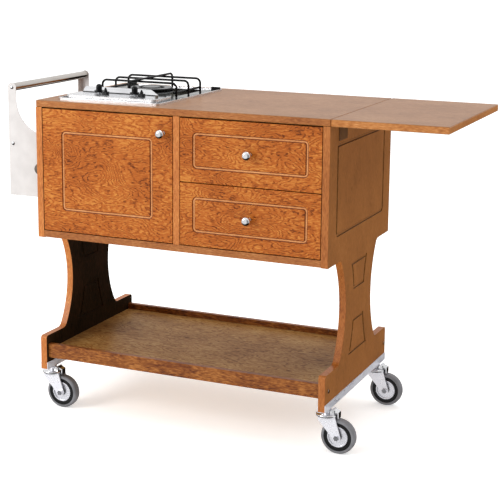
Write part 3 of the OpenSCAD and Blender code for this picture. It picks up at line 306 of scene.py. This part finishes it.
# Dull zinc plate: flat grey, with crystals
zinc = metal("zinc plate, dull", ("#9FA2A6", "#BDBFC2"), (0.30, 0.45), (6, 6, 6), 0.1)
# Cast alloy, blasted: grey and matt, with a sandy grain
burner_alloy = metal("aluminium alloy, cast and blasted", ("#8A8B8D", "#A8A9AB"), (0.42, 0.60),
                     (1.5, 1.5, 1.5), 0.5)
# Drawn brass: yellow, with fine lines along the pipes
gas_brass = metal("brass, drawn", ("#A88848", "#C8A862"), (0.25, 0.4), (30, 3, 3))
print("metals:", hob_steel.name, chrome.name, fork_plate.name)

# %% [markdown]
# ## Paint, enamel, plastic and rubber
# The bottle rack is powder coated: a pale satin skin with a fine orange peel. The burner caps and the
# pan support are vitreous enamel, glass melted on steel, so they are black and glossy. Taps are
# moulded ABS with a faint spark texture, whose 0.1 mm pits are drawn 0.8 mm wide. The flap's hinges
# are lacquered brown to hide under the worktop. Tyres are grey rubber with a matt skin and a little
# dust.

# %% Paint, enamel, plastic and rubber
def coating(name, shades, rough, grain_mm, relief, coat=0.0, sheen=0.5, glow=0.0):
    """A paint, plastic or rubber: two close shades in soft clouds, and a fine relief of grain_mm."""
    finish, tree, shader, place = new_finish(
        name, Coat_Weight=coat, Coat_Roughness=0.08, IOR=1.5, Specular_IOR_Level=sheen,
        Emission_Color=linear("#FFFFFF"), Emission_Strength=glow)
    cloud = pattern(tree, place, (35, 35, 35), 2.0)
    grain = pattern(tree, place, (grain_mm,) * 3, 2.0)
    colour = add(tree, "ShaderNodeValToRGB", {"Fac": cloud}, [(0.35, shades[0]), (0.65, shades[1])])
    gloss = add(tree, "ShaderNodeMapRange", {"Value": cloud, "To Min": rough[0], "To Max": rough[1]})
    bump = add(tree, "ShaderNodeBump", {"Height": grain, "Strength": relief, "Distance": 0.1 * MM})
    tree.links.new(colour.outputs["Color"], shader.inputs["Base Color"])
    tree.links.new(gloss.outputs["Result"], shader.inputs["Roughness"])
    tree.links.new(bump.outputs["Normal"], shader.inputs["Normal"])
    return finish


# Powder coat: warm pale grey, satin, with a faint orange peel
rack_paint = coating("powder coat, pale grey", ("#C2BEBC", "#CAC6C4"), (0.30, 0.42), 1.5, 0.10)
# Vitreous enamel: deep black with small hard highlights
enamel = coating("vitreous enamel, black", ("#050506", "#0C0C0D"), (0.12, 0.22), 2.0, 0.05, sheen=0.15)
# Moulded ABS: black, with softer highlights than the enamel
knob_plastic = coating("ABS, moulded black", ("#080809", "#121213"), (0.20, 0.32), 0.8, 0.10, sheen=0.18)
# Moulded polypropylene: black and waxy
wheel_plastic = coating("polypropylene, moulded black", ("#080809", "#111112"), (0.35, 0.50), 0.8, 0.15,
                        sheen=0.3)
# Moulded rubber: mid grey and dull, in soft clouds
tyre_rubber = coating("rubber, moulded grey", ("#6A6A6D", "#7E7E82"), (0.52, 0.70), 0.8, 0.25)
# Brown lacquer on steel: close to the wood, so that the hinges hardly show
hinge_brown = coating("steel, brown lacquered", ("#5A3818", "#684420"), (0.45, 0.60), 1.5, 0.10, sheen=0.1)
# Moulded rubber: dark brown and matt
buffer_rubber = coating("rubber, moulded brown", ("#4A4038", "#5C5046"), (0.55, 0.70), 1.0, 0.25)
print("coatings:", rack_paint.name, enamel.name, tyre_rubber.name)

# %% [markdown]
# ## Dressing a solid
# A CAD solid has knife-sharp edges, and real ones catch the light. Each piece starts as a copy of its
# node's mesh: its corners are welded, its flat faces are joined into one, and a Bevel modifier eases
# each edge by the tenths of a millimetre that sanding, bending or plating leave. Weighted Normal then
# keeps the large faces flat in the shading. Where a piece has several finishes, tests on its faces say
# which face takes which.

# %% Dressing a solid
def at_floor(line, axis, floor):
    """True for a sharp edge that lies in the plane of a groove's floor."""
    on_it = all(abs(v.co[AXIS[axis]] - floor) < 0.02 * MM for v in line.verts)
    return on_it and line.calc_face_angle(0) > radians(60)


def dress(name, node, finish, edge=0.5, steps=2, parts=(), routed=None, cut_z=None, move=None,
          soft=None):
    """The shown piece for a node, with eased edges, its finish and its body.

    parts are pairs of a finish and a test for the faces that take it. routed gives the axis that a
    routed groove is cut along, the places of its floors in metres, and the finish of its coves, which
    carries painted shade. cut_z is a height at which faces are divided, so that a test can tell the two
    sides apart. move shifts a corner, and soft is a test for the edges that are rolled round, with
    their radius in millimetres.
    """
    mesh = bpy.data.meshes.new(name)
    shape = bmesh.new()
    shape.from_mesh(nodes[node].data)
    bmesh.ops.remove_doubles(shape, verts=shape.verts, dist=0.001 * MM)
    bmesh.ops.dissolve_limit(shape, angle_limit=radians(0.4), verts=shape.verts, edges=shape.edges)
    for corner in shape.verts if move else ():
        move(corner.co)
    if cut_z:
        everything = [*shape.verts, *shape.edges, *shape.faces]
        bmesh.ops.bisect_plane(shape, geom=everything, plane_co=(0, 0, cut_z), plane_no=(0, 0, 1))
    for face in shape.faces:
        face.smooth = True
        for at, (_, test) in enumerate(parts, 1):
            if test(face):
                face.material_index = at
    weight = shape.edges.layers.float.new("bevel_weight_edge")
    for line in shape.edges:
        line.smooth = line.calc_face_angle(0) < radians(30)
        if routed and any(at_floor(line, routed[0], floor) for floor in routed[1]):
            line[weight] = 1.0
        if soft and soft[0](line):
            line[weight] = 1.0
    shape.to_mesh(mesh)
    shape.free()
    for part in (finish, *(part for part, _ in parts)):
        mesh.materials.append(part)
    piece = bpy.data.objects.new(name, mesh)
    bpy.context.scene.collection.objects.link(piece)
    if routed:
        mesh.materials.append(routed[2])
        cove = piece.modifiers.new("routed cove", "BEVEL")
        cove.width, cove.segments = 2.2 * MM, 3
        cove.limit_method, cove.material = "WEIGHT", len(mesh.materials) - 1
    if soft:
        roll = piece.modifiers.new("rolled edges", "BEVEL")
        roll.width, roll.segments, roll.limit_method = soft[1] * MM, 5, "WEIGHT"
    if edge:
        ease = piece.modifiers.new("eased edges", "BEVEL")
        ease.width, ease.segments = edge * MM, steps
        ease.limit_method, ease.angle_limit = "ANGLE", radians(30)
        even = piece.modifiers.new("even shading", "WEIGHTED_NORMAL")
        even.keep_sharp = False
    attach(piece, body_of[node])
    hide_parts(node)
    return piece


# %% [markdown]
# ## Wooden boards
# The side panels run from the worktop to the feet in one board. Their wide faces are veneered and
# their edges lipped, and their inner faces are near black as painted shade. The coves of the routed
# frames take a darker birch as painted shade, and on the fronts the groove floors take a paler one as
# a painted highlight. That could be painted by a mask, but a bevel along the foot of the groove can
# carry a finish of its own, and so the dark line follows the cut exactly.

# %% Wooden boards
def is_edge(axis):
    """A test for faces that don't look along the axis."""
    return lambda face: abs(face.normal[AXIS[axis]]) < 0.5


def near_plane(axis, place, reach):
    """A test for faces that lie within reach of a plane across the axis."""
    return lambda face: all(abs(v.co[AXIS[axis]] - place) < reach for v in face.verts)


GROOVE = 2.5 * MM
for hand in ("left", "right"):
    faces_x = sorted((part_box(f"{hand}_side_panel")[i][0] for i in (0, 1)), key=abs)
    inner_x, outer_x = faces_x
    floor_x = outer_x - GROOVE * (1 if outer_x > 0 else -1)
    # The coves take painted shade, the right panel's lipping is a darker copy as painted shade, and the inner
    # faces are near black as painted shade
    dress(f"{hand}_panel_board", f"{hand}_side_panel", side_birch, 1.2, steps=3,
          routed=("x", [floor_x], side_groove_shade),
          parts=[(lipping if hand == "left" else shaded_right_lipping, is_edge("x")),
                 (painted_shade_birch, near_plane("x", inner_x, GROOVE + 0.1 * MM))])
    print(f"{hand} side panel: from x {inner_x:.4f} to {outer_x:.4f} m")
dress("worktop_board", "worktop", top_birch, 1.2, steps=3, parts=[(edge_lipping, is_edge("z"))])
# The flap's lipping is a paler copy, as painted light
dress("flap_leaf", "flap_board", top_birch, 1.2, steps=3, parts=[(lit_flap_lipping, is_edge("z"))])
dress("cabinet_floor_board", "cabinet_floor", edge_lipping, 0.8)
dress("divider_board", "centre_divider", lipping, 0.8)
dress("rear_board", "back_panel", back_birch, 0.8)
dress("shelf_sheet", "shelf_board", shelf_birch, 0.8)
dress("shelf_side_rails", "shelf_rails", rail_birch, 1.2, steps=3)
dress("runner_strips", "drawer_runners", plywood, 0.6)
for front in ("door_panel", "upper_drawer_front", "lower_drawer_front"):
    # The coves take a darker birch as painted shade, and the groove floors a paler one as a painted highlight
    floors = [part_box(front)[0][1] + GROOVE]
    dress(f"{front}_board", front, front_birch, 1.0, steps=3, routed=("y", floors, groove_shade_birch),
          parts=[(groove_floor_highlight, near_plane("y", floors[0], 0.02 * MM))])
for drawer in ("upper", "lower"):
    dress(f"{drawer}_box_sides", f"{drawer}_drawer_box", plywood, 0.6)

# %% [markdown]
# ## Bottle rack
# Two plates of sheet steel with bent edges, a floor with an upturned lip, a rail and a handle of
# polished tube. Sheet edges are broken by only a few tenths of a millimetre. Subdivision would round
# the bends too, but it would swell the flat plates, and a narrow bevel leaves them true.

# %% Bottle rack
for plate in ("rack_front_plate", "rack_rear_plate", "rack_floor"):
    dress(f"{plate}_sheet", plate, rack_paint, 0.3)
dress("push_handle", "handle_tube", tube_steel, 0.4)
dress("bottle_rail_tube", "bottle_rail", tube_steel, 0.4)
SHEET_TOP = 852 * MM


def is_rest(face):
    """True for the faces of the black rests on the hob, which share a node with the brown buffer."""
    spot = face.calc_center_median()
    return spot.z > SHEET_TOP + 0.5 * MM and spot.y > 0


dress("panel_buffer", "rubber_buffers", buffer_rubber, 0.4, parts=[(knob_plastic, is_rest)])

# %% [markdown]
# ## Hob
# A pressed tray of brushed steel with a raised control panel and a sunk drip pan, a cast burner with
# enamelled rings, a wire pan support in black enamel, two plastic taps and two igniter buttons. The
# ridge of the panel comes down in a slope at its right end and has a wide rolled crest. A press forms
# both in one stroke; here the corners are shifted in code and the crest gets a bevel of its own.

# %% Hob
pan_low, pan_high = (-403 * MM, -71 * MM), (-196 * MM, 169 * MM)


def in_pan(face):
    """True for the faces of the drip pan, below the flat sheet."""
    x, y, z = face.calc_center_median()
    return pan_low[0] < x < pan_high[0] and pan_low[1] < y < pan_high[1] and z < SHEET_TOP + 0.2 * MM


knob_low, knob_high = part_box("left_tap_knob")
panel_top = 862 * MM
ridge_top = panel_top + 14 * MM
ridge_right = knob_high[0] + 155.5 * MM
END_REACH, END_SLOPE = 14 * MM, 1.6


def slope_ridge(spot):
    """Draws the right end of the ridge in towards its top, so that it comes down in a slope."""
    if spot.z > panel_top + 1 * MM and spot.x > ridge_right - END_REACH:
        spot.x -= (spot.z - panel_top) * END_SLOPE


def on_crest(line):
    """True for the upper edges of the ridge."""
    high_up = all(v.co.z > ridge_top - 0.1 * MM for v in line.verts)
    return high_up and line.calc_face_angle(0) > radians(20)


# The drip pan's faces take a dark steel as a painted reflection
dress("hob_pressing", "hob_tray", hob_steel, 0.6, parts=[(pan_reflection_steel, in_pan)], move=slope_ridge,
      soft=(on_crest, 2.4))

# A black curve with a round section at the foot of the ridge: painted shade in the crease of the fold
fold_shade_curve = bpy.data.curves.new("painted_fold_shade", "CURVE")
fold_shade_curve.dimensions, fold_shade_curve.bevel_depth, fold_shade_curve.bevel_resolution = "3D", 1.5 * MM, 3
fold_shade_curve.use_fill_caps = True
fold_shade_points = fold_shade_curve.splines.new("POLY")
fold_shade_points.points.add(1)
for point, x in zip(fold_shade_points.points, (knob_low[0] - 46 * MM, ridge_right + 24 * MM)):
    point.co = (x, knob_high[1] + 2.6 * MM, panel_top + 0.7 * MM, 1)
fold_shade_curve.materials.append(knob_plastic)
fold_shade = bpy.data.objects.new("painted_fold_shade", fold_shade_curve)
bpy.context.scene.collection.objects.link(fold_shade)
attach(fold_shade, body_of["hob_tray"])
print(f"ridge from z {panel_top:.3f} to {ridge_top:.3f} m, its right end at x {ridge_right:.3f} m")

dress("burner_casting", "burner_base", burner_alloy, 0.5)
RING_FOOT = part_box("burner_outer_ring")[0][2] + 4 * MM
dress("outer_burner_cap", "burner_outer_ring", enamel, 0.5, cut_z=RING_FOOT,
      parts=[(burner_alloy, lambda face: face.calc_center_median().z < RING_FOOT)])
dress("inner_burner_cap", "burner_inner_cap", enamel, 0.5)
dress("wire_grid", "pan_support", enamel, 0)
dress("manifold_and_taps", "gas_manifold", gas_brass, 0.4)
dress("igniter_sockets", "igniter_bases", knob_plastic, 0.5)
for hand in ("left", "right"):
    dress(f"{hand}_spindle_pin", f"{hand}_tap_spindle", zinc, 0.3)
    dress(f"{hand}_tap_cap", f"{hand}_tap_knob", knob_plastic, 0.5)
    dress(f"{hand}_igniter_tip", f"{hand}_igniter_button", knob_plastic, 0.4)

# %% [markdown]
# ## Knobs, screws and hidden fittings
# The three knobs are turned and chromium plated, and so are the screws. The door's hinges and its catch
# are plated dull and seen only when the door is open. Each could be painted on, but a solid that is
# already in the model needs only its edge and its finish.

# %% Knobs, screws and hidden fittings
for knob in ("door_knob", "upper_drawer_knob", "lower_drawer_knob"):
    dress(f"{knob}_plated", knob, chrome, 0.3)
dress("screw_heads", "screws_and_bolts", chrome, 0.3)
dress("channel_covers", "foot_channels", channel_plate, 0.4)
dress("caster_stem_pins", "caster_stems", fork_plate, 0.3)
for fitting in ("door_fittings", "door_hinge_cups"):
    dress(f"{fitting}_plated", fitting, zinc, 0.3)
for fitting in ("flap_hinge_mounts", "flap_hinge_leaves"):
    dress(f"{fitting}_lacquered", fitting, hinge_brown, 0.3)

# %% [markdown]
# ## Casters
# Each caster is a bent fork under a ball-raced swivel head, a wheel with a black moulded centre, two
# pressed discs and a grey rubber tyre, and a brake lever hooked over the tyre. The head and the fork
# are one node, and so are the centre and its discs, so their finishes are told apart by height and by
# the distance from the axle. Separate objects would do the same, with a seam to hide at each join.

# %% Casters
def near_axle(box, reach, inner=0.0):
    """A test for faces within reach of a wheel's axle and more than inner from its middle plane."""
    centre = [(a + b) / 2 for a, b in zip(*box)]

    def test(face):
        spots = [[a - b for a, b in zip(v.co, centre)] for v in face.verts]
        return all(x * x + z * z < reach * reach and abs(y) > inner for x, y, z in spots)
    return test


HEAD_FOOT = 95.1 * MM
NUT_REACH, FORK_HALF = 9 * MM, 18 * MM
DISC_REACH, DISC_PLACE = 27.4 * MM, 7 * MM
for corner in ("front_left", "front_right", "rear_left", "rear_right"):
    wheel_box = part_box(f"{corner}_hub")
    # The axle nuts take a dark steel as a painted reflection
    dress(f"{corner}_fork_plate", f"{corner}_fork", fork_plate, 0.4,
          parts=[(chrome, lambda face: face.calc_center_median().z > HEAD_FOOT),
                 (nut_reflection_steel, near_axle(wheel_box, NUT_REACH, FORK_HALF))])
    dress(f"{corner}_wheel_centre", f"{corner}_hub", wheel_plastic, 0.4,
          parts=[(disc_plate, near_axle(wheel_box, DISC_REACH, DISC_PLACE))])
    dress(f"{corner}_tyre_band", f"{corner}_tyre", tyre_rubber, 0.3)
    dress(f"{corner}_brake_lever", f"{corner}_brake", chrome, 0.4)
print(f"wheel centres {wheel_box[1][0] - wheel_box[0][0]:.4f} m across")

# %% [markdown]
# ## Floor and light
# The photo is a cut-out on white. A pale sheet lit from below and a white surround give the same
# ground. A large soft key from the front left makes the fronts glow, and a weak light overhead keeps
# the worktop calm. Polished metal needs something dark to reflect, so the surround is dark from just
# below the horizon, and one side of it is dimmed to keep the right side panel darker, as it is in the
# photo. Cards could stand in for this, but they would also show as shapes in the reflections.

# %% Floor and light
# height leans by 0.35, so the dark part of the surround starts far below the horizon in front of the
# cart and at the horizon behind it. flag dims the front right, and under darkens what lies more than 20
# degrees below the horizon. The floor is hidden from reflections, so that they see this dark part.
world = bpy.data.worlds.new("studio surround")
bpy.context.scene.world = world
world.use_nodes = True
room = world.node_tree
toward = add(room, "ShaderNodeTexCoord").outputs["Generated"]
height = add(room, "ShaderNodeVectorMath", {0: toward, 1: (0.0, -0.35, 1.0)}, operation="DOT_PRODUCT")
level_up = add(room, "ShaderNodeMapRange",
               {"Value": height.outputs["Value"], "From Min": -0.915, "From Max": 0.285})
shell = add(room, "ShaderNodeValToRGB", {"Fac": level_up.outputs["Result"]},
            [(0.42, "#1E1814"), (0.49, "#E6E4E2"), (0.58, "#F0F0F0"), (1.00, "#FFFFFF")])
facing = add(room, "ShaderNodeVectorMath", {0: toward, 1: (0.62, -0.78, 0.0)}, operation="DOT_PRODUCT")
flag = add(room, "ShaderNodeMapRange", {"Value": facing.outputs["Value"], "From Min": 0.60,
                                        "From Max": 0.98, "To Min": 1.0, "To Max": 0.25})
low_down = add(room, "ShaderNodeVectorMath", {0: toward, 1: (0.0, 0.0, 1.0)}, operation="DOT_PRODUCT")
under = add(room, "ShaderNodeMapRange", {"Value": low_down.outputs["Value"], "From Min": -0.60,
                                         "From Max": -0.35, "To Min": 0.06, "To Max": 1.0})
share = add(room, "ShaderNodeMath", {0: flag.outputs["Result"], 1: under.outputs["Result"]},
            operation="MULTIPLY")
dimmed = add(room, "ShaderNodeVectorMath", {0: shell.outputs["Color"], "Scale": share.outputs["Value"]},
             operation="SCALE")
seen = add(room, "ShaderNodeLightPath").outputs["Is Camera Ray"]
ground = add(room, "ShaderNodeMix", data_type="VECTOR")
for socket, value in ((0, seen), (4, dimmed.outputs["Vector"])):
    room.links.new(value, ground.inputs[socket])
ground.inputs[5].default_value = (1.0, 1.0, 1.0)
surround = room.nodes["Background"]
room.links.new(ground.outputs[1], surround.inputs["Color"])
surround.inputs["Strength"].default_value = 1.0

floor_mesh = bpy.data.meshes.new("studio floor")
floor_shape = bmesh.new()
bmesh.ops.create_grid(floor_shape, x_segments=1, y_segments=1, size=60)
floor_shape.to_mesh(floor_mesh)
floor_shape.free()
floor = bpy.data.objects.new("studio_floor", floor_mesh)
bpy.context.scene.collection.objects.link(floor)
floor_paint = coating("acrylic sheet, pale, lit from below", ("#F8F8F7", "#FCFCFB"), (0.8, 0.9), 3.0, 0.0,
                      glow=0.40)
floor_mesh.materials.append(floor_paint)
floor.visible_glossy = False


def soft_light(name, place, aim, size, power, colour="#FFFFFF"):
    """A square area light of size metres at place, turned to aim."""
    data = bpy.data.lights.new(name, "AREA")
    data.size, data.energy, data.color = size, power, linear(colour)[:3]
    light = bpy.data.objects.new(name, data)
    light.location = place
    light.rotation_euler = (Vector(aim) - Vector(place)).to_track_quat("-Z", "Y").to_euler()
    bpy.context.scene.collection.objects.link(light)


soft_light("key", (-2.4, -2.7, 2.0), (-0.1, 0, 0.5), 1.6, 65)
soft_light("overhead", (0.2, 0.8, 3.0), (0, 0, 0.6), 2.0, 20)
bpy.context.scene.view_settings.view_transform = "Standard"
